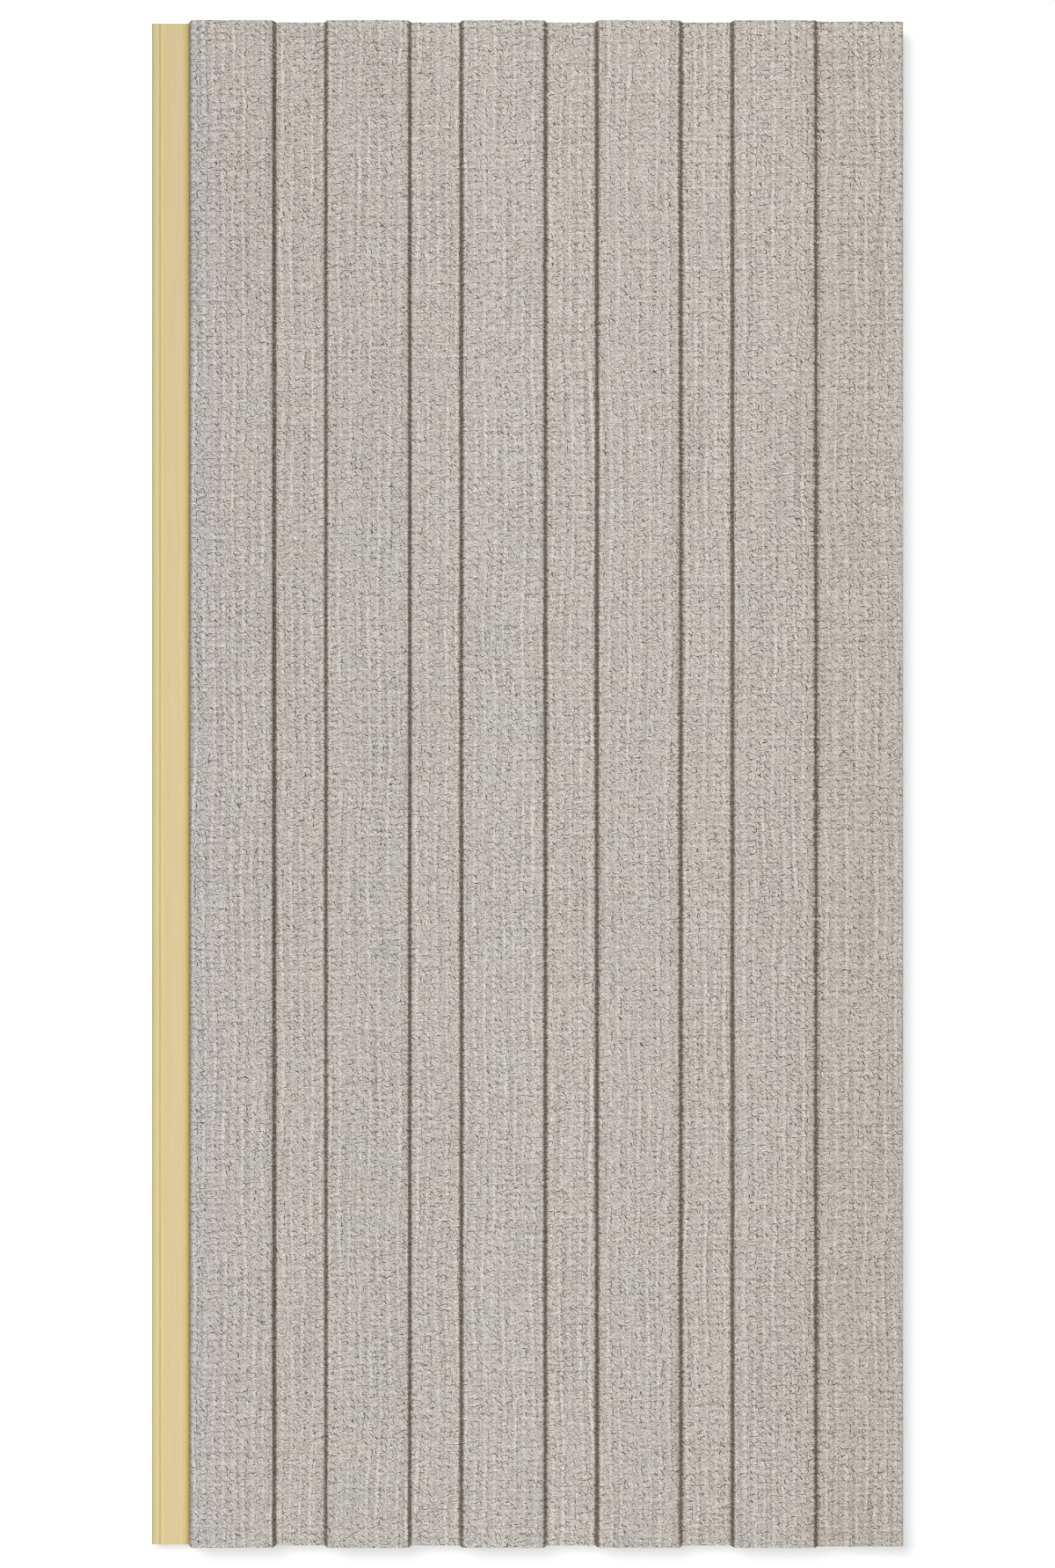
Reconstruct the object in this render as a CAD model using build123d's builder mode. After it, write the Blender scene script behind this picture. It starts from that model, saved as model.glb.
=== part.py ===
"""A fluted composite wall panel: an extruded core with a tongue and a lap, under a woven-look film.

Sizes are in millimetres. +X runs across the flutes from the tongue to the lap, +Y runs along them,
and +Z points out of the front face. The panel lies on its back, with the origin in the middle of it.
"""
import os
from math import radians, tan

from build123d import *

# Overall sizes
panel_length = 395.0
panel_thickness = 12.0
film_thickness = 0.4

# Raised bars and the grooves between them, measured over the film
bar_count = 5
bar_pitch = 35.1
bar_width = 21.0
groove_depth = 4.0
wall_draft = 11.0
bar_edge_radius = 0.9
groove_root_radius = 0.6

# Bare tongue along the left edge, where the panel is screwed or stapled to the wall
tongue_width = 9.4
tongue_thickness = 5.6
tongue_root_radius = 1.5
tongue_edge_radius = 0.5
guide_line_inset = 2.1
guide_line_width = 0.5
guide_line_depth = 0.3

# Lap strip along the right edge, which covers the next panel's tongue
strip_width = 22.5
strip_drop = 2.4
strip_edge_radius = 0.9
lap_clearance = 0.3
lap_root_radius = 0.4

# Bare core left beyond each long edge of the film
film_trim = 0.2

# Relief channels in the back, one behind each bar
channel_width = 14.0
channel_depth = 2.0
channel_side_angle = 70.0
channel_root_radius = 0.8

# Levels above the back
groove_level = panel_thickness - groove_depth
strip_level = panel_thickness - strip_drop
lap_height = tongue_thickness + lap_clearance
lap_nose_radius = tongue_root_radius + lap_clearance
film_left_level = tongue_thickness + tongue_root_radius + film_trim
film_right_level = lap_height + lap_nose_radius + film_trim

# Places across the width, from the tongue's outer edge to the lap strip's
wall_slope = tan(radians(wall_draft))
tongue_wall_run = (panel_thickness - tongue_thickness) * wall_slope
groove_wall_run = groove_depth * wall_slope
strip_wall_run = strip_drop * wall_slope
bars_span = (bar_count - 1) * bar_pitch + bar_width
panel_width = tongue_width + tongue_wall_run + bars_span + strip_wall_run + strip_width
left_edge = -panel_width / 2
right_edge = panel_width / 2
first_bar_left = left_edge + tongue_width + tongue_wall_run
bar_lefts = [first_bar_left + index * bar_pitch for index in range(bar_count)]
bar_centres = [bar_left + bar_width / 2 for bar_left in bar_lefts]
lap_wall = right_edge - tongue_width - lap_clearance
guide_line = left_edge + guide_line_inset


def film_face_points():
    """Corners of the film's outer face, with a radius for each corner between the two ends."""
    film_start = first_bar_left - (panel_thickness - film_left_level) * wall_slope
    points = [(film_start, film_left_level)]
    corner_radii = []
    for index, bar_left in enumerate(bar_lefts):
        bar_right = bar_left + bar_width
        if index > 0:
            points.append((bar_left - groove_wall_run, groove_level))
            corner_radii.append(groove_root_radius)
        points.append((bar_left, panel_thickness))
        points.append((bar_right, panel_thickness))
        corner_radii += [bar_edge_radius, bar_edge_radius]
        if index < bar_count - 1:
            points.append((bar_right + groove_wall_run, groove_level))
            corner_radii.append(groove_root_radius)
    points.append((right_edge - strip_width, strip_level))
    points.append((right_edge, strip_level))
    points.append((right_edge, film_right_level))
    corner_radii += [groove_root_radius, strip_edge_radius]
    return points, corner_radii


# The film's outer face, and the face it is glued to
face_points, face_radii = film_face_points()
with BuildLine() as film_outer:
    FilletPolyline(*face_points, radius=face_radii)
with BuildLine() as film_inner:
    offset(film_outer.line, amount=film_thickness, side=Side.RIGHT, closed=False, mode=Mode.ADD)

# Woven-look film over the whole front
with BuildPart() as textile_film:
    with BuildSketch(Plane.XZ):
        with BuildLine():
            add(film_outer.line)
            add(film_inner.line)
            Line(film_outer.line @ 0, film_inner.line @ 0)
            Line(film_outer.line @ 1, film_inner.line @ 1)
        make_face()
    extrude(amount=panel_length / 2, both=True)

# Extruded core, with its tongue, lap and back channels
with BuildPart() as panel_core:
    with BuildSketch(Plane.XZ) as core_section:
        with BuildLine():
            add(film_inner.line)
            left_end = film_inner.line @ 0
            right_end = film_inner.line @ 1
            tongue_root = left_end.X - (left_end.Y - tongue_thickness) * wall_slope
            back_and_tongue = [
                (right_end.X, right_end.Y),
                (right_end.X, lap_height),
                (lap_wall, lap_height),
                (lap_wall, 0),
                (left_edge, 0),
                (left_edge, tongue_thickness),
                (guide_line - guide_line_width / 2, tongue_thickness),
                (guide_line, tongue_thickness - guide_line_depth),
                (guide_line + guide_line_width / 2, tongue_thickness),
                (tongue_root, tongue_thickness),
                (left_end.X, left_end.Y),
            ]
            back_radii = [
                lap_nose_radius,
                lap_root_radius,
                tongue_edge_radius,
                tongue_edge_radius,
                tongue_edge_radius,
                0,
                0,
                0,
                tongue_root_radius,
            ]
            FilletPolyline(*back_and_tongue, radius=back_radii)
        make_face()
        with Locations(*[(centre, 0) for centre in bar_centres]):
            Trapezoid(
                channel_width,
                channel_depth,
                channel_side_angle,
                align=(Align.CENTER, Align.MIN),
                mode=Mode.SUBTRACT,
            )
        channel_roots = core_section.vertices().filter_by_position(Axis.Y, channel_depth, channel_depth)
        fillet(channel_roots, radius=channel_root_radius)
    extrude(amount=panel_length / 2, both=True)

# One file for each piece
os.makedirs("parts", exist_ok=True)
for piece, node in ((panel_core, "panel_core"), (textile_film, "textile_film")):
    piece.part.label = node
    export_step(piece.part, f"parts/{node}.step")
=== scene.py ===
"""Looks of the fluted composite wall panel: woven-look film over a yellow composite core."""
import math

import bpy
import numpy as np
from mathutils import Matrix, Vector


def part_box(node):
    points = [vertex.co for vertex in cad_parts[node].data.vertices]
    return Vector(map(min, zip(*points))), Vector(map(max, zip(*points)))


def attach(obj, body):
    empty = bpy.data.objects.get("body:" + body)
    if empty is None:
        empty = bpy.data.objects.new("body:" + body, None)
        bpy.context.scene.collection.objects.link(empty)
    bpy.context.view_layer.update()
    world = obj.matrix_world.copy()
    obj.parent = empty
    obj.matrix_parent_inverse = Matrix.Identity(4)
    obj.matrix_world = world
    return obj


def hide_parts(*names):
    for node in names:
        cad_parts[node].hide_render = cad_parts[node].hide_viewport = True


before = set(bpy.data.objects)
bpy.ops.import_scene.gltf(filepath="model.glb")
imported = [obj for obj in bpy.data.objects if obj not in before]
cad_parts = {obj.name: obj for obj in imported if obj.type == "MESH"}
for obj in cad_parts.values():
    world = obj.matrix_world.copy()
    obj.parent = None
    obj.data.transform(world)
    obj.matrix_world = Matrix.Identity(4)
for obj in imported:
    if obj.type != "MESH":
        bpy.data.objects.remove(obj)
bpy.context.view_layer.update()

MM = 0.001

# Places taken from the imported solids
core_low, core_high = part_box("panel_core")
film_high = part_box("textile_film")[1]
left_edge = core_low.x
right_edge = film_high.x
half_length = core_high.y
panel_thickness = film_high.z

# Section of the panel, measured over the film
bar_count = 5
bar_pitch = 35.1 * MM
bar_width = 21.0 * MM
groove_depth = 4.0 * MM
wall_draft = 11.0
bar_edge_radius = 0.9 * MM
groove_root_radius = 0.6 * MM
strip_width = 22.5 * MM
strip_drop = 2.4 * MM
strip_edge_radius = 0.9 * MM
tongue_width = 9.4 * MM
tongue_thickness = 5.6 * MM
tongue_root_radius = 1.5 * MM
lap_clearance = 0.3 * MM
film_thickness = 0.4 * MM
film_trim = 0.2 * MM
wall_slope = math.tan(math.radians(wall_draft))
film_left_level = tongue_thickness + tongue_root_radius + film_trim
film_right_level = film_left_level + 2 * lap_clearance

# Weave of the film: one repeat of its threads across and along, its relief and its frayed ends
repeat_across = 2.545 * MM
repeat_along = 1.739 * MM
relief_depth = 0.07 * MM
fray_depth = 0.14 * MM
weave_seed = 11
fray_seed = 12

# Columns of the film's mesh: on each round corner, and close to it on the longer flats
arc_parts = 6
close_columns = np.array([0.25, 0.5, 0.8]) * MM
long_flat = 4 * MM
sharp_angle = math.radians(40)

# Painted shade along the walls, dark lines in the groove creases, from left to right
wall_shade_core = 0.05 * MM
wall_shade_reach = 1.05 * MM
wall_shade_widths = (0.8, 0.78, 1.06, 0.68, 1.08, 1.1, 1.06, 1.35, 0.86, 1.2)
wall_shade_strengths = (0.6, 1.03, 0.95, 1.0, 0.97, 0.95, 1.0, 1.0, 0.8, 1.5)
steep_height = 1 * MM

# Tone of the film, and the width of its face laid flat
film_contrast = 0.96
film_level = 0.676
film_span = 216 * MM

# Map for baking: the front's sheet, and the strips for the back, the two ends and the two long edges
sheet_room = 1.02
sheet_margin = 0.005
strip_places = (0.60, 0.70, 0.75, 0.80, 0.85)
strip_low = 0.01
strip_height = 0.97
back_strip_width = 0.08
edge_strip_width = 0.03


def film_corners():
    """Corners of the film's outer face in the section, with the radius of each inner corner."""
    groove_run = groove_depth * wall_slope
    first_bar = left_edge + tongue_width + (panel_thickness - tongue_thickness) * wall_slope
    groove_level = panel_thickness - groove_depth
    strip_level = panel_thickness - strip_drop
    corners = [(first_bar - (panel_thickness - film_left_level) * wall_slope, film_left_level)]
    radii = []
    for index in range(bar_count):
        bar_left = first_bar + index * bar_pitch
        bar_right = bar_left + bar_width
        if index > 0:
            corners.append((bar_left - groove_run, groove_level))
            radii.append(groove_root_radius)
        corners += [(bar_left, panel_thickness), (bar_right, panel_thickness)]
        radii += [bar_edge_radius, bar_edge_radius]
        if index < bar_count - 1:
            corners.append((bar_right + groove_run, groove_level))
            radii.append(groove_root_radius)
    corners += [(right_edge - strip_width, strip_level), (right_edge, strip_level)]
    radii += [groove_root_radius, strip_edge_radius]
    corners.append((right_edge, film_right_level))
    return np.array(corners), radii


def rounded_line(corners, radii, parts):
    """Points of a line with rounded corners, and the first and last point of each round stretch."""
    points = [corners[0]]
    rounds = []
    for index, radius in enumerate(radii, start=1):
        before = corners[index - 1] - corners[index]
        after = corners[index + 1] - corners[index]
        before = before / np.linalg.norm(before)
        after = after / np.linalg.norm(after)
        half_angle = math.acos(float(np.clip(before @ after, -1, 1))) / 2
        middle = before + after
        middle = middle / np.linalg.norm(middle)
        centre = corners[index] + middle * radius / math.sin(half_angle)
        start = corners[index] + before * radius / math.tan(half_angle) - centre
        end = corners[index] + after * radius / math.tan(half_angle) - centre
        sweep = math.pi - 2 * half_angle
        rounds.append((len(points), len(points) + parts))
        for step in range(parts + 1):
            share = step / parts
            arc_point = math.sin((1 - share) * sweep) * start + math.sin(share * sweep) * end
            points.append(centre + arc_point / math.sin(sweep))
    points.append(corners[-1])
    return np.array(points), rounds


def film_columns(points, rounds):
    """Distances along the film's face where the mesh has columns, and the face's points at them."""
    distance = np.concatenate([[0], np.cumsum(np.linalg.norm(np.diff(points, axis=0), axis=1))])
    stops = list(distance)
    thread_pitch = repeat_across / 2
    flat_starts = [0] + [last for first, last in rounds]
    flat_ends = [first for first, last in rounds] + [-1]
    for first, last in zip(flat_starts, flat_ends):
        low, high = distance[first], distance[last]
        margin = thread_pitch / 3
        if high - low > long_flat:
            stops += list(low + close_columns) + list(high - close_columns)
            margin += close_columns[-1]
        crossings = np.arange(math.ceil(low / thread_pitch), high / thread_pitch) * thread_pitch
        stops += [stop for stop in crossings if low + margin < stop < high - margin]
    stops = np.array(sorted(stops))
    across = np.stack([np.interp(stops, distance, points[:, axis]) for axis in (0, 1)], 1)
    tangent = np.zeros_like(across)
    step = bar_edge_radius / 20
    for axis in (0, 1):
        ahead = np.interp(stops + step, distance, points[:, axis])
        behind = np.interp(stops - step, distance, points[:, axis])
        tangent[:, axis] = ahead - behind
    tangent /= np.linalg.norm(tangent, axis=1)[:, None]
    normal = np.stack([-tangent[:, 1], tangent[:, 0]], 1)
    return stops, across, normal


def weave_relief(across, along):
    """How far the film's face lies below its highest points, from its ribs and uneven threads."""
    rib_part = 0.4
    uneven_part = 0.35
    slub_part = 0.3
    limit = 1.5
    draws = np.random.default_rng(weave_seed)
    rib = np.cos(2 * np.pi * across / repeat_across)[:, None]
    uneven = draws.normal(0, uneven_part, (len(across), len(along)))
    slub = draws.normal(0, slub_part, (len(across), 1)) + draws.normal(0, slub_part, (1, len(along)))
    height = np.clip(rib_part * rib + uneven + slub, -limit, limit)
    return relief_depth * (limit - height) / (2 * limit)


def wall_shade_shares(across, corners):
    """How much painted shade each column gets: 0 on the flats, rising to each wall's strength at its
    middle.
    """
    steep = np.abs(np.diff(corners[:, 1])) > steep_height
    middles = ((corners[:-1, 0] + corners[1:, 0]) / 2)[steep]

    # The first band of painted shade lies at the film's edge by the tongue, and the panel's right-hand
    # edge has none
    middles[0] = corners[0, 0]
    middles = middles[:-1]
    reach = wall_shade_reach * np.array(wall_shade_widths)
    away = np.abs(across[:, 0:1] - middles)
    share = np.clip((reach - away) / (reach - wall_shade_core), 0, 1)
    return (share * share * (3 - 2 * share) * np.array(wall_shade_strengths)).max(axis=1)


def film_points(stops, across, normal, along):
    """Points of the film's woven front, and of the two ends of its smooth back."""
    columns = len(stops)
    depth = weave_relief(stops, along)
    front = np.zeros((columns, len(along), 3))
    front[:, :, 0] = across[:, 0:1] - depth * normal[:, 0:1]
    front[:, :, 1] = along
    front[:, :, 2] = across[:, 1:2] - depth * normal[:, 1:2]
    draws = np.random.default_rng(fray_seed)
    front[:, 0, 1] += fray_depth * draws.random(columns)
    front[:, -1, 1] -= fray_depth * draws.random(columns)
    back = np.zeros((columns, 2, 3))
    back[:, :, 0] = (across[:, 0] - film_thickness * normal[:, 0])[:, None]
    back[:, 0, 1] = front[:, 0, 1]
    back[:, 1, 1] = front[:, -1, 1]
    back[:, :, 2] = (across[:, 1] - film_thickness * normal[:, 1])[:, None]
    return front, back


def quads(*corners):
    """Four-cornered faces from four arrays of point numbers."""
    return np.stack(corners, -1).reshape(-1, 4).tolist()


def film_faces(front_id, back_id):
    """Groups of faces: the front, the back, the two cut ends and the two long edges."""
    front = quads(front_id[:-1, :-1], front_id[1:, :-1], front_id[1:, 1:], front_id[:-1, 1:])
    back = quads(back_id[:-1, 0], back_id[:-1, 1], back_id[1:, 1], back_id[1:, 0])
    near_end = quads(front_id[:-1, 0], back_id[:-1, 0], back_id[1:, 0], front_id[1:, 0])
    far_end = quads(front_id[:-1, -1], front_id[1:, -1], back_id[1:, 1], back_id[:-1, 1])
    left_side = [front_id[0, :].tolist() + back_id[0, ::-1].tolist()]
    right_side = [front_id[-1, ::-1].tolist() + back_id[-1, :].tolist()]
    return [front, back, near_end, far_end, left_side, right_side]


def bake_spots(spots, is_back, groups, film_width):
    """A map for baking: the front in one piece, and the hidden faces in narrow strips beside it."""
    sheet = 2 * half_length * sheet_room
    margin = sheet_margin * sheet
    baked = (spots + [margin, half_length + margin]) / sheet
    loop_counts = [sum(len(face) for face in group) for group in groups]
    loop_group = np.repeat(np.arange(len(groups)), loop_counts)
    share_across = spots[:, 0] / film_width
    share_along = (spots[:, 1] + half_length) / (2 * half_length)
    back_share = back_strip_width * (spots[:, 1] > 0)
    edge_share = edge_strip_width * is_back
    strip_shares = (
        (back_share, share_across),
        (edge_share, share_across),
        (edge_share, share_across),
        (edge_share, share_along),
        (edge_share, share_along),
    )
    for group, (strip_place, (wide, long)) in enumerate(zip(strip_places, strip_shares), start=1):
        picked = loop_group == group
        baked[picked, 0] = strip_place + wide[picked]
        baked[picked, 1] = strip_low + strip_height * long[picked]
    return baked


def add_map(mesh, name, spots):
    """Adds a flat map to a mesh, with one spot for each corner of each face."""
    flat_map = mesh.uv_layers.new(name=name)
    flat_map.uv.foreach_set("vector", spots.astype(np.float32).ravel())


def film_mesh():
    """The film as one closed mesh: a woven front, a smooth back and cut edges."""
    corners, radii = film_corners()
    points, rounds = rounded_line(corners, radii, arc_parts)
    stops, across, normal = film_columns(points, rounds)
    rows = int(round(2 * half_length / repeat_along))
    along = np.linspace(-half_length, half_length, rows + 1)
    front, back = film_points(stops, across, normal, along)
    columns = len(stops)
    front_id = np.arange(columns * (rows + 1)).reshape(columns, rows + 1)
    back_id = front_id.size + np.arange(columns * 2).reshape(columns, 2)
    groups = film_faces(front_id, back_id)
    vertices = np.concatenate([front.reshape(-1, 3), back.reshape(-1, 3)])

    mesh = bpy.data.meshes.new("woven_film")
    mesh.from_pydata(vertices.tolist(), [], sum(groups, []))
    smooth = np.zeros(len(mesh.polygons), bool)
    smooth[: len(groups[0])] = True
    mesh.polygons.foreach_set("use_smooth", smooth)
    mesh.set_sharp_from_angle(angle=sharp_angle)

    # A map in metres for the weave, across the film and then along it, and a map for baking
    place = np.zeros((len(vertices), 2))
    place[:, 0] = np.concatenate([np.repeat(stops, rows + 1), np.repeat(stops, 2)])
    place[:, 1] = vertices[:, 1]
    corner_vertex = np.zeros(len(mesh.loops), np.int32)
    mesh.loops.foreach_get("vertex_index", corner_vertex)
    spots = place[corner_vertex]
    add_map(mesh, "weave", spots)
    add_map(mesh, "OFBake", bake_spots(spots, corner_vertex >= front_id.size, groups, stops[-1]))

    # Painted shade along the walls: darker lines in the groove creases
    painted_wall_shade = np.concatenate([np.repeat(wall_shade_shares(across, corners), rows + 1), np.zeros(2 * columns)])
    mesh.attributes.new("painted_wall_shade", "FLOAT", "POINT").data.foreach_set("value", painted_wall_shade.astype(np.float32))
    return mesh


class Nodes:
    """Adds nodes to one node tree and joins them."""

    def __init__(self, tree):
        self.tree = tree

    def add(self, kind, **settings):
        node = self.tree.nodes.new(kind)
        for name, value in settings.items():
            setattr(node, name, value)
        return node

    def feed(self, socket, value):
        """Joins a socket to another one, or gives it a plain value."""
        if isinstance(value, bpy.types.NodeSocket):
            self.tree.links.new(value, socket)
        else:
            socket.default_value = value

    def math(self, operation, first, second=0.0, third=0.0, clamp=False):
        node = self.add("ShaderNodeMath", operation=operation, use_clamp=clamp)
        for socket, value in zip(node.inputs, (first, second, third)):
            self.feed(socket, value)
        return node.outputs[0]

    def sum(self, *values):
        total = values[0]
        for value in values[1:]:
            total = self.math("ADD", total, value)
        return total

    def times(self, first, second):
        return self.math("MULTIPLY", first, second)

    def on_vectors(self, operation, *values):
        node = self.add("ShaderNodeVectorMath", operation=operation)
        for socket, value in zip(node.inputs, values):
            self.feed(socket, value)
        return node.outputs["Vector"]

    def scaled(self, place, factors):
        return self.on_vectors("MULTIPLY", place, factors)

    def split(self, vector):
        node = self.add("ShaderNodeSeparateXYZ")
        self.feed(node.inputs[0], vector)
        return node.outputs[0], node.outputs[1], node.outputs[2]

    def vector(self, x, y, z=0.0):
        node = self.add("ShaderNodeCombineXYZ")
        for socket, value in zip(node.inputs, (x, y, z)):
            self.feed(socket, value)
        return node.outputs[0]

    def draws(self, place):
        """Three random numbers for a place, and a fourth."""
        node = self.add("ShaderNodeTexWhiteNoise", noise_dimensions="3D")
        self.feed(node.inputs["Vector"], place)
        return node.outputs["Color"], node.outputs["Value"]

    def noise(self, place, scale, detail=2.0, roughness=0.5):
        node = self.add("ShaderNodeTexNoise", noise_dimensions="3D")
        self.feed(node.inputs["Vector"], place)
        self.feed(node.inputs["Scale"], scale)
        self.feed(node.inputs["Detail"], detail)
        self.feed(node.inputs["Roughness"], roughness)
        return node.outputs["Fac"]

    def shifts(self, place, scale, detail):
        """Numbers that change smoothly from place to place, for moving threads about."""
        node = self.add("ShaderNodeTexNoise", noise_dimensions="2D")
        self.feed(node.inputs["Vector"], place)
        self.feed(node.inputs["Scale"], scale)
        self.feed(node.inputs["Detail"], detail)
        return node.outputs["Color"]

    def ramp(self, value, stops):
        node = self.add("ShaderNodeValToRGB")
        elements = node.color_ramp.elements
        while len(elements) < len(stops):
            elements.new(0.5)
        for element, (position, colour) in zip(elements, stops):
            element.position = position
            element.color = (*colour, 1.0)
        self.feed(node.inputs["Fac"], value)
        return node.outputs["Color"]

    def mix(self, factor, first, second, kind="RGBA", blend="MIX"):
        node = self.add("ShaderNodeMix", data_type=kind, blend_type=blend)
        self.feed(node.inputs["Factor"], factor)
        self.feed(node.inputs["A"], first)
        self.feed(node.inputs["B"], second)
        return node.outputs["Result"]

    def bump(self, height, strength, distance):
        node = self.add("ShaderNodeBump")
        self.feed(node.inputs["Strength"], strength)
        self.feed(node.inputs["Distance"], distance)
        self.feed(node.inputs["Height"], height)
        return node.outputs["Normal"]


def srgb(red, green, blue):
    """A colour written as screen values from 0 to 255, as linear light."""
    def linear(value):
        value = value / 255
        return value / 12.92 if value <= 0.04045 else ((value + 0.055) / 1.055) ** 2.4
    return (linear(red), linear(green), linear(blue))


def new_material(name):
    """An empty material, with its nodes and its shader."""
    material = bpy.data.materials.new(name)
    material.use_nodes = True
    tree = material.node_tree
    return material, Nodes(tree), tree.nodes["Principled BSDF"]


def thread_marks_group():
    """One thread mark in each cell of the weave: a short slanted stroke, or two beside each other, with
    paler flanks that are painted highlights.
    """
    slip_share = 0.7
    cell_part = 0.6
    column_part = 0.4
    flank_fade = 0.42
    flank_turn = 1.9
    phase_draw = 29.0
    phase_span = 4.4
    cell_strength_part = 0.75
    column_strength_part = 0.25
    painted_highlight_cut = 0.74
    group = bpy.data.node_groups.new("thread_marks", "ShaderNodeTree")
    for name in ("Place", "Shift", "Size", "Spread"):
        group.interface.new_socket(name, in_out="INPUT", socket_type="NodeSocketVector")
    for name in ("Tilt", "Rarity", "Seed"):
        group.interface.new_socket(name, in_out="INPUT", socket_type="NodeSocketFloat")
    group.interface.new_socket("Mark", in_out="OUTPUT", socket_type="NodeSocketFloat")
    nodes = Nodes(group)
    given = nodes.add("NodeGroupInput").outputs
    result = nodes.add("NodeGroupOutput").inputs["Mark"]

    # The cell a spot lies in, and the random draws of that cell and of its column
    half = (0.5,) * 3
    cell_size = (repeat_across / MM, repeat_along / MM, 1.0)
    in_cells = nodes.on_vectors("DIVIDE", given["Place"], cell_size)
    cell_place = nodes.on_vectors("ADD", in_cells, given["Shift"])
    column = nodes.split(nodes.on_vectors("FLOOR", cell_place))[0]
    column_draw, column_strength = nodes.draws(nodes.vector(column, 0.5, given["Seed"]))
    slip = nodes.times(nodes.split(column_draw)[1], slip_share)
    cell_place = nodes.on_vectors("ADD", cell_place, nodes.vector(0.0, slip))
    row = nodes.split(nodes.on_vectors("FLOOR", cell_place))[1]
    cell_draw, cell_strength = nodes.draws(nodes.vector(column, row, given["Seed"]))
    draw = nodes.on_vectors("MULTIPLY_ADD", cell_draw, (cell_part,) * 3, (-0.5,) * 3)
    draw = nodes.on_vectors("MULTIPLY_ADD", column_draw, (column_part,) * 3, draw)
    moved = nodes.on_vectors("MULTIPLY", draw, given["Spread"])

    # The spot as seen from the middle of the stroke, turned to lie along it
    local = nodes.on_vectors("SUBTRACT", nodes.on_vectors("FRACTION", cell_place), moved)
    local = nodes.on_vectors("MULTIPLY", nodes.on_vectors("SUBTRACT", local, half), cell_size)
    flat_across, flat_along = nodes.split(local)[:2]
    turned = nodes.add("ShaderNodeVectorRotate", rotation_type="Z_AXIS", invert=True)
    nodes.feed(turned.inputs["Vector"], nodes.vector(flat_across, flat_along))
    nodes.feed(turned.inputs["Angle"], nodes.math("ADD", given["Tilt"], nodes.split(moved)[2]))
    reach = nodes.on_vectors("DIVIDE", turned.outputs[0], given["Size"])
    reach_along, reach_off = nodes.split(reach)[:2]

    # A printed stroke that fades out all round, with paler flanks as painted highlights of the relief, as
    # strong as its cell draws it
    off_squared = nodes.times(reach_off, reach_off)
    far = nodes.math("MULTIPLY_ADD", reach_along, reach_along, nodes.times(off_squared, flank_fade))
    fade = nodes.math("EXPONENT", nodes.times(far, -1.0))
    phase = nodes.math("FRACT", nodes.times(cell_strength, phase_draw))
    phase = nodes.math("MULTIPLY_ADD", phase, phase_span, -phase_span / 2)
    flanks = nodes.math("COSINE", nodes.math("MULTIPLY_ADD", reach_off, flank_turn, phase))
    strength = nodes.times(column_strength, column_strength_part)
    strength = nodes.math("MULTIPLY_ADD", cell_strength, cell_strength_part, strength)
    strength = nodes.math("POWER", strength, given["Rarity"])
    stroke = nodes.times(nodes.times(fade, flanks), strength)
    # The paler flanks are painted highlights, kept weaker than the dark stroke
    painted_highlight = nodes.math("MINIMUM", stroke, 0.0)
    nodes.feed(result, nodes.math("MULTIPLY_ADD", painted_highlight, -painted_highlight_cut, stroke))
    return group


def thread_places(nodes, spot):
    """Places on the film as its threads lie: they wander and curl, and drift along the panel."""
    wander_reach = (0.9, 0.9, 0.0)
    curl_reach = (0.35, 0.35, 0.0)
    drift_reach = 3.2
    stretch_reach = 3.0
    wander = nodes.shifts(spot, scale=0.15, detail=1.0)
    threads = nodes.on_vectors("MULTIPLY_ADD", wander, wander_reach, spot)
    curl = nodes.shifts(spot, scale=1.1, detail=0.0)
    threads = nodes.on_vectors("MULTIPLY_ADD", curl, curl_reach, threads)
    drift = nodes.noise(nodes.scaled(spot, (0.01, 0.02, 0.0)), scale=1.0, detail=1.0)
    stretch = nodes.noise(nodes.scaled(spot, (0.012, 0.045, 0.0)), scale=1.0, detail=1.0)
    moved = nodes.vector(nodes.times(drift, drift_reach), nodes.times(stretch, stretch_reach))
    return nodes.on_vectors("ADD", threads, moved)


def thread_marks(nodes, threads):
    """All the strokes on the film, in layers of different directions."""
    # Shift of the cells, tilt, half length and thickness in mm, weight, rarity and scatter
    layers = (
        ((0.00, 0.00), -50, (0.50, 0.200), 1.22, 1.4, (0.5, 0.6, 0.6)),
        ((0.50, 0.50), -52, (0.50, 0.200), 1.16, 1.5, (0.5, 0.6, 0.6)),
        ((0.25, 0.75), -46, (0.40, 0.185), 1.04, 1.6, (0.6, 0.6, 0.8)),
        ((0.55, 0.10), 15, (0.58, 0.190), 1.01, 1.4, (0.6, 0.6, 0.5)),
        ((0.05, 0.55), 14, (0.58, 0.185), 0.97, 1.5, (0.6, 0.6, 0.5)),
        ((0.75, 0.30), 10, (0.45, 0.180), 0.86, 1.6, (0.6, 0.6, 0.8)),
        ((0.30, 0.80), 88, (0.55, 0.200), 1.04, 1.5, (0.4, 0.6, 0.5)),
        ((0.80, 0.30), 0, (0.45, 0.180), 0.76, 1.6, (0.6, 0.6, 0.5)),
    )
    group = thread_marks_group()
    marks = 0.0
    for seed, (shift, tilt, size, weight, rarity, spread) in enumerate(layers, start=1):
        layer = nodes.add("ShaderNodeGroup", node_tree=group)
        values = (threads, (*shift, 0.0), (*size, 1.0), spread, math.radians(tilt), rarity, float(seed))
        for socket, value in zip(layer.inputs, values):
            nodes.feed(socket, value)
        marks = nodes.math("MULTIPLY_ADD", layer.outputs["Mark"], weight, marks)
    return marks


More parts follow.
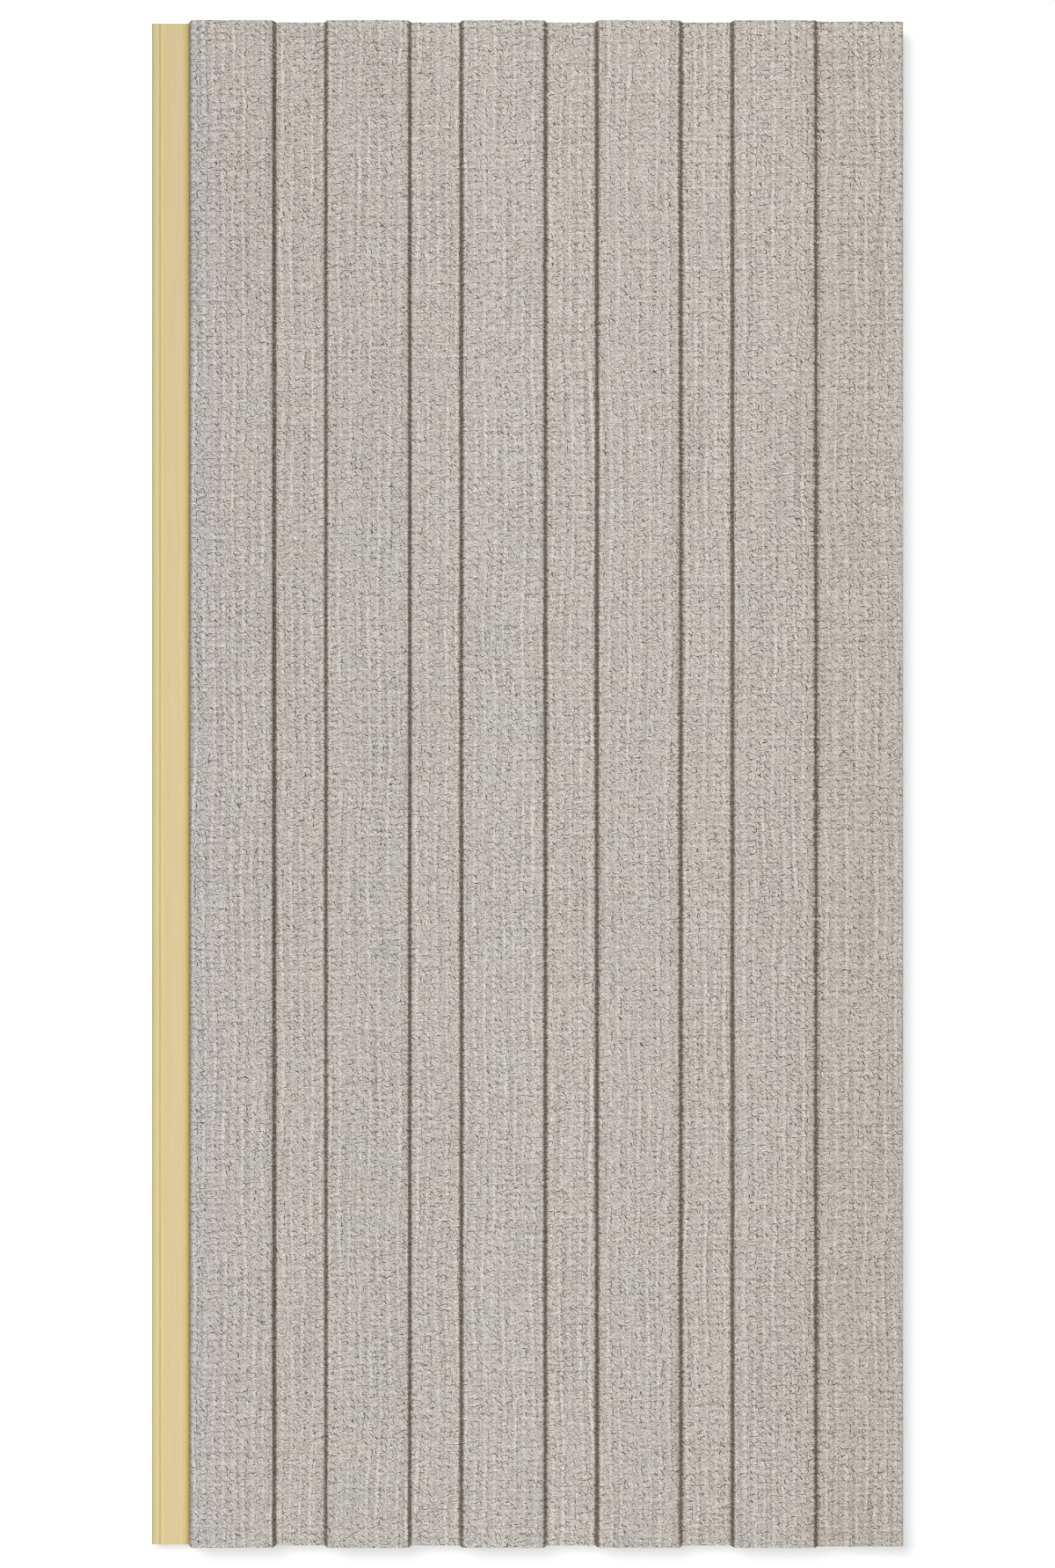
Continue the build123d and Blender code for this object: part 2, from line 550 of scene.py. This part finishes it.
def weave_ribs(nodes, spot, across):
    """Ribs along the film, two to a repeat, stronger in some places than in others."""
    rib_gain = 0.19
    rib_base = -0.0545
    half_rib_part = 0.7
    half_rib_phase = 0.4
    rib_drift = nodes.noise(nodes.scaled(spot, (0.30, 0.04, 0.0)), scale=1.0, detail=1.0)
    rib_share = nodes.math("MULTIPLY_ADD", rib_drift, rib_gain, rib_base)
    rib_turn = nodes.times(across, 2 * math.pi / (repeat_across / MM))
    half_rib = nodes.math("COSINE", nodes.math("MULTIPLY_ADD", rib_turn, 2.0, half_rib_phase))
    rib = nodes.math("MULTIPLY_ADD", half_rib, half_rib_part, nodes.math("COSINE", rib_turn))
    return nodes.times(rib, rib_share)


def weave_rows(nodes, threads, along):
    """Faint rows across the film, and single threads both ways that stand out for a while."""
    row_depth = 0.034
    warp_limit = 0.53
    warp_part = 0.37
    weft_limit = 0.55
    weft_part = 0.26
    lines_base = -0.290
    row_turn = nodes.times(along, 2 * math.pi / (repeat_along / MM))
    row = nodes.times(nodes.math("COSINE", row_turn), row_depth)
    warp = nodes.noise(nodes.scaled(threads, (1.5, 0.018, 0.0)), scale=1.0, detail=1.0)
    weft = nodes.noise(nodes.scaled(threads, (0.022, 1.6, 0.0)), scale=1.0, detail=1.0)
    warp = nodes.math("MINIMUM", warp, warp_limit)
    weft = nodes.math("MINIMUM", weft, weft_limit)
    lines = nodes.math("MULTIPLY_ADD", weft, weft_part, lines_base)
    lines = nodes.math("MULTIPLY_ADD", warp, warp_part, lines)
    return row, lines


def film_tint(nodes, spot, across_share, along_share):
    """A slight change of tint from place to place, cooler by the tongue and warmer on the lap strip."""
    patches = nodes.ramp(
        nodes.noise(spot, scale=0.09, detail=4.0, roughness=0.62),
        (
            (0.0, (1.027, 1.0, 0.962)),
            (1.0, (0.973, 1.0, 1.038)),
        ),
    )
    cast = nodes.ramp(
        across_share,
        (
            (0.028, (0.945, 0.962, 1.01)),
            (0.045, (0.967, 0.959, 0.963)),
            (0.26, (0.977, 0.971, 0.975)),
            (0.45, (1.004, 0.997, 1.003)),
            (0.84, (0.986, 0.976, 0.970)),
            (0.91, (0.966, 0.945, 0.927)),
        ),
    )
    blush = nodes.ramp(
        along_share,
        (
            (0.72, (1.0, 1.0, 1.0)),
            (0.97, (1.009, 1.0, 0.995)),
        ),
    )
    tint = nodes.on_vectors("MULTIPLY", patches, blush)
    return nodes.on_vectors("MULTIPLY", tint, cast)


def film_wall_shade(nodes, spot, value):
    """How strong the painted shade along the walls is, with ragged edges and a change from stitch to
    stitch.
    """
    ragged_gain = -0.9
    ragged_base = 0.85
    stitch_gain = 3.6
    stitch_base = -0.8
    # Painted shade along the walls, read from the mesh
    painted_wall_shade = nodes.add("ShaderNodeAttribute", attribute_name="painted_wall_shade").outputs["Fac"]
    ragged = nodes.math("MULTIPLY_ADD", value, ragged_gain, ragged_base)
    stitches = nodes.noise(nodes.scaled(spot, (0.12, 1.5, 0.0)), scale=1.0, detail=1.0)
    stitches = nodes.math("MULTIPLY_ADD", stitches, stitch_gain, stitch_base)
    return nodes.math("MULTIPLY", nodes.times(painted_wall_shade, stitches), ragged, clamp=True)


def film_material():
    """Light grey woven film with short dark thread marks in several directions."""
    fibre_part = 1.25
    mottle_part = 0.34
    ground_middle = 0.755
    painted_falloff_part = 0.07
    corner_across = 0.4
    corner_along = 0.5
    wall_shade_colour = (0.42, 0.355, 0.30, 1.0)
    rib_height = 2.0
    material, nodes, shader = new_material("woven_film")
    place = nodes.add("ShaderNodeUVMap", uv_map="weave").outputs["UV"]
    spot = nodes.scaled(place, (1 / MM,) * 3)
    threads = thread_places(nodes, spot)
    across, along = nodes.split(threads)[:2]

    # Strokes, ribs and rows over an uneven ground
    marks = thread_marks(nodes, threads)
    rib = weave_ribs(nodes, spot, across)
    row, lines = weave_rows(nodes, threads, along)
    fibre = nodes.noise(spot, scale=2.6, detail=1.5, roughness=0.65)
    mottle = nodes.noise(spot, scale=0.6, detail=1.0)
    ground = nodes.math("MULTIPLY_ADD", fibre, fibre_part, nodes.times(mottle, mottle_part))
    ground = nodes.math("SUBTRACT", ground, ground_middle)
    value = nodes.sum(ground, rib, row, lines, nodes.times(marks, -1.0))

    # Painted light falloff: a level that changes slightly from corner to corner
    film_across, film_along = nodes.split(spot)[:2]
    across_share = nodes.times(film_across, MM / film_span)
    along_share = nodes.math("MULTIPLY_ADD", film_along, MM / (2 * half_length), 0.5)
    off_across = nodes.math("SUBTRACT", across_share, corner_across)
    off_along = nodes.math("SUBTRACT", along_share, corner_along)
    level = nodes.math("MULTIPLY_ADD", nodes.times(off_across, off_along), painted_falloff_part, film_level)
    shade = nodes.math("MULTIPLY_ADD", value, film_contrast, level)
    colour = nodes.ramp(
        shade,
        (
            (0.0, srgb(95, 90, 83)),
            (0.25, srgb(133, 128, 121)),
            (0.5, srgb(171, 166, 159)),
            (0.75, srgb(209, 204, 197)),
            (1.0, srgb(245, 240, 233)),
        ),
    )

    # Tint, and painted shade along the walls, darker and browner
    tint = film_tint(nodes, spot, across_share, along_share)
    colour = nodes.mix(1.0, colour, tint, blend="MULTIPLY")
    colour = nodes.mix(film_wall_shade(nodes, spot, value), colour, wall_shade_colour, blend="MULTIPLY")
    nodes.feed(shader.inputs["Base Color"], colour)
    shader.inputs["Roughness"].default_value = 0.9
    shader.inputs["Specular IOR Level"].default_value = 0.15
    height = nodes.math("MULTIPLY_ADD", rib, rib_height, fibre)
    nodes.feed(shader.inputs["Normal"], nodes.bump(height, strength=0.4, distance=0.1 * MM))
    return material


def sawn_ends(nodes, place, grain, cells):
    """Colour and height of the cut ends: slanting saw lines and small pores."""
    saw_part = 0.7
    grain_part = 0.3
    pore_limit = 0.42
    pore_gain = 5.0
    pore_part = -0.5
    saw_height = 1.6
    slanted = nodes.add("ShaderNodeMapping")
    nodes.feed(slanted.inputs["Vector"], place)
    slanted.inputs["Rotation"].default_value = (0, math.radians(12), 0)
    slanted.inputs["Scale"].default_value = (3.2 / MM, 0.02 / MM, 0.12 / MM)
    saw = nodes.noise(slanted.outputs["Vector"], scale=1.0, detail=2.0, roughness=0.6)
    pores = nodes.math("MULTIPLY", nodes.math("SUBTRACT", pore_limit, cells), pore_gain, clamp=True)
    sawn = nodes.sum(nodes.times(saw, saw_part), nodes.times(grain, grain_part))
    sawn = nodes.math("MULTIPLY_ADD", pores, pore_part, sawn)
    colour = nodes.ramp(
        sawn,
        (
            (0.0, srgb(168, 148, 103)),
            (0.35, srgb(207, 188, 140)),
            (0.65, srgb(222, 205, 160)),
            (0.9, srgb(231, 217, 178)),
        ),
    )
    return colour, nodes.times(sawn, saw_height)


def tongue_painted_light(nodes, colour, across, height):
    """Painted shade in the fold at the tongue's root and on its rounded outer edge, and painted
    highlights on the lips of the guide line.
    """
    root = left_edge + tongue_width
    root_reach = 2 * MM
    root_span = 3 * MM
    edge_span = 5 * MM
    tongue_skin = 0.6 * MM
    in_front = nodes.math("LESS_THAN", across, root + root_reach)
    above = nodes.math("GREATER_THAN", height, tongue_thickness - tongue_skin)
    # Painted shade in the fold at the tongue's root, deeper and more yellow towards the wall
    root_shade = nodes.ramp(
        nodes.math("MULTIPLY_ADD", across, 1 / root_span, (root_reach - root) / root_span),
        (
            (0.19, (1.0, 1.0, 1.0)),
            (0.27, (0.95, 0.935, 0.87)),
            (0.50, (0.90, 0.87, 0.72)),
            (0.75, (0.80, 0.75, 0.58)),
        ),
    )
    colour = nodes.mix(nodes.times(in_front, above), colour, root_shade, blend="MULTIPLY")
    # Painted shade on the rounded outer edge, and painted highlights on the lips of the guide line
    edge_light_and_shade = nodes.ramp(
        nodes.math("MULTIPLY_ADD", across, 1 / edge_span, -left_edge / edge_span),
        (
            (0.0, (0.83, 0.83, 0.80)),
            (0.11, (0.91, 0.90, 0.81)),
            (0.17, (1.03, 1.01, 0.85)),
            (0.25, (1.035, 1.02, 0.91)),
            (0.32, (1.085, 1.065, 1.02)),
            (0.42, (1.02, 1.03, 1.03)),
            (0.52, (1.07, 1.045, 0.975)),
            (0.74, (1.0, 0.985, 0.92)),
            (0.92, (1.0, 1.0, 1.0)),
        ),
    )
    return nodes.mix(above, colour, edge_light_and_shade, blend="MULTIPLY")


def core_tone(nodes, along, cells):
    """A few dark specks, and a tone that gets slowly deeper towards one end."""
    speck_limit = 0.25
    speck_gain = 12.0
    speck_part = -0.3
    specks = nodes.math("MULTIPLY", nodes.math("SUBTRACT", speck_limit, cells), speck_gain, clamp=True)
    specks = nodes.math("MULTIPLY_ADD", specks, speck_part, 1.0)
    end_tone = nodes.ramp(
        nodes.math("MULTIPLY_ADD", along, 1 / (2 * half_length), 0.5),
        (
            (0.15, (1.01, 1.01, 1.01)),
            (0.55, (1.0, 1.0, 1.0)),
            (1.0, (0.94, 0.945, 0.945)),
        ),
    )
    return nodes.on_vectors("MULTIPLY", end_tone, nodes.vector(specks, specks, specks))


def core_material():
    """Bare yellow composite with fine lines along its length, and a sawn look on its ends."""
    line_part = 0.6
    grain_part = 0.4
    end_facing = 0.7
    material, nodes, shader = new_material("composite_core")
    coordinates = nodes.add("ShaderNodeTexCoord")
    place = coordinates.outputs["Object"]
    across, along, height = nodes.split(place)

    # Fine lines and grain on the long faces
    stretch = nodes.add("ShaderNodeMapping")
    nodes.feed(stretch.inputs["Vector"], place)
    stretch.inputs["Scale"].default_value = (1 / MM, 0.02 / MM, 1 / MM)
    lines = nodes.noise(stretch.outputs["Vector"], scale=2.2, detail=3.0, roughness=0.6)
    scaled = nodes.add("ShaderNodeVectorMath", operation="SCALE")
    nodes.feed(scaled.inputs[0], place)
    scaled.inputs["Scale"].default_value = 1 / MM
    grain = nodes.noise(scaled.outputs[0], scale=2.5, detail=2.0, roughness=0.6)
    cells = nodes.noise(scaled.outputs[0], scale=2.2, detail=2.0, roughness=0.7)
    relief = nodes.sum(nodes.times(lines, line_part), nodes.times(grain, grain_part))
    colour = nodes.ramp(
        relief,
        (
            (0.2, srgb(213, 194, 142)),
            (0.5, srgb(221, 202, 152)),
            (0.8, srgb(227, 209, 161)),
        ),
    )

    # Another look on the cut ends
    facing = nodes.split(coordinates.outputs["Normal"])[1]
    cut = nodes.math("GREATER_THAN", nodes.math("ABSOLUTE", facing), end_facing)
    sawn_colour, sawn_relief = sawn_ends(nodes, place, grain, cells)
    colour = nodes.mix(cut, colour, sawn_colour)
    relief = nodes.mix(cut, relief, sawn_relief, kind="FLOAT")

    # Painted light and shade on the tongue
    colour = tongue_painted_light(nodes, colour, across, height)
    colour = nodes.on_vectors("MULTIPLY", colour, core_tone(nodes, along, cells))
    nodes.feed(shader.inputs["Base Color"], colour)
    shader.inputs["Roughness"].default_value = 0.6
    shader.inputs["Specular IOR Level"].default_value = 0.3
    nodes.feed(shader.inputs["Normal"], nodes.bump(relief, strength=0.3, distance=0.05 * MM))
    return material


def seen_rays(nodes):
    """1 for rays that show the background, straight or through gloss or glass, and 0 for the others."""
    rays = nodes.add("ShaderNodeLightPath")
    seen = nodes.math("MAXIMUM", rays.outputs["Is Camera Ray"], rays.outputs["Is Glossy Ray"])
    return nodes.math("MAXIMUM", seen, rays.outputs["Is Transmission Ray"])


def floor_material():
    """Plain pale floor that keeps the panel's shadow."""
    glow = 0.1
    material, nodes, shader = new_material("floor")
    shader.inputs["Base Color"].default_value = (0.778, 0.78, 0.785, 1)
    shader.inputs["Roughness"].default_value = 1.0
    shader.inputs["Specular IOR Level"].default_value = 0.0
    shader.inputs["Emission Color"].default_value = (0.95, 0.985, 1.05, 1)
    nodes.feed(shader.inputs["Emission Strength"], nodes.times(seen_rays(nodes), glow))
    return material


def add_floor():
    """A flat floor just below the panel's back."""
    half_size = 4.0
    floor_gap = 0.02 * MM
    corners = [(x * half_size, y * half_size, 0) for x, y in ((-1, -1), (1, -1), (1, 1), (-1, 1))]
    mesh = bpy.data.meshes.new("floor")
    mesh.from_pydata(corners, [], [(0, 1, 2, 3)])
    mesh.materials.append(floor_material())
    floor = bpy.data.objects.new("floor", mesh)
    floor.location.z = -floor_gap
    bpy.context.scene.collection.objects.link(floor)
    return floor


def add_sun(name, strength, spread, tilt_across=0, tilt_along=0, colour=(1, 1, 1)):
    """A sun lamp, with its spread and tilts in degrees."""
    lamp = bpy.data.lights.new(name, "SUN")
    lamp.energy = strength
    lamp.color = colour
    lamp.angle = math.radians(spread)
    sun = bpy.data.objects.new(name, lamp)
    sun.rotation_euler = (math.radians(tilt_along), math.radians(tilt_across), 0)
    bpy.context.scene.collection.objects.link(sun)
    return sun


def lit_only(lamp, pieces):
    """Lets a lamp light only the given pieces."""
    lit = bpy.data.collections.new("lit_by_" + lamp.name)
    for piece in pieces:
        lit.objects.link(piece)
    lamp.light_linking.receiver_collection = lit


def add_light(panel, floor):
    """Soft light from straight above, and a slanting one that gives the floor its soft shadow."""
    sky_level = 0.1
    sky_seen = 0.9
    cool = (0.965, 0.99, 1.045)
    warm = (1.035, 1.007, 0.95)
    overhead = add_sun("overhead", strength=2.55, spread=34)
    floor_level = add_sun("floor_level", strength=1.83, spread=4, colour=cool)
    floor_slant = add_sun(
        "floor_slant", strength=1.66, spread=25, tilt_across=-15.5, tilt_along=-17, colour=warm
    )
    lit_only(overhead, panel)
    lit_only(floor_level, [floor])
    lit_only(floor_slant, [floor])
    world = bpy.data.worlds.new("studio")
    bpy.context.scene.world = world
    world.use_nodes = True
    nodes = Nodes(world.node_tree)
    background = world.node_tree.nodes["Background"]
    background.inputs["Color"].default_value = (1, 1, 1, 1)
    strength = nodes.math("MULTIPLY_ADD", seen_rays(nodes), sky_seen, sky_level)
    nodes.feed(background.inputs["Strength"], strength)


def add_camera():
    """Square-on above the panel, far enough away for the photo's slight perspective."""
    photo_height = 1783
    metres_per_pixel = 0.2273 * MM
    distance = 1.29
    off_middle = 0.1 * MM
    lens_sensor = 36.0
    data = bpy.data.cameras.new("camera")
    data.sensor_fit = "VERTICAL"
    data.sensor_height = lens_sensor
    data.lens = lens_sensor * distance / (photo_height * metres_per_pixel)
    data.clip_end = 20
    camera = bpy.data.objects.new("camera", data)
    camera.location = (off_middle, 0, panel_thickness + distance)
    bpy.context.scene.collection.objects.link(camera)
    bpy.context.scene.camera = camera


def add_film():
    """The woven film, in place of the plain one."""
    mesh = film_mesh()
    mesh.materials.append(film_material())
    film = bpy.data.objects.new("woven_film", mesh)
    bpy.context.scene.collection.objects.link(film)
    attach(film, "root")
    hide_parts("textile_film")
    return film


def dress_core():
    """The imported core, with its composite material."""
    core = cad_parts["panel_core"]
    core.data.materials.clear()
    core.data.materials.append(core_material())
    return core


# Colours as they are written, and a fine pixel filter that keeps the threads crisp
bpy.context.scene.view_settings.view_transform = "Standard"
bpy.context.scene.cycles.denoising_prefilter = "NONE"
bpy.context.scene.cycles.filter_width = 1.2
panel = [add_film(), dress_core()]
add_light(panel, add_floor())
add_camera()
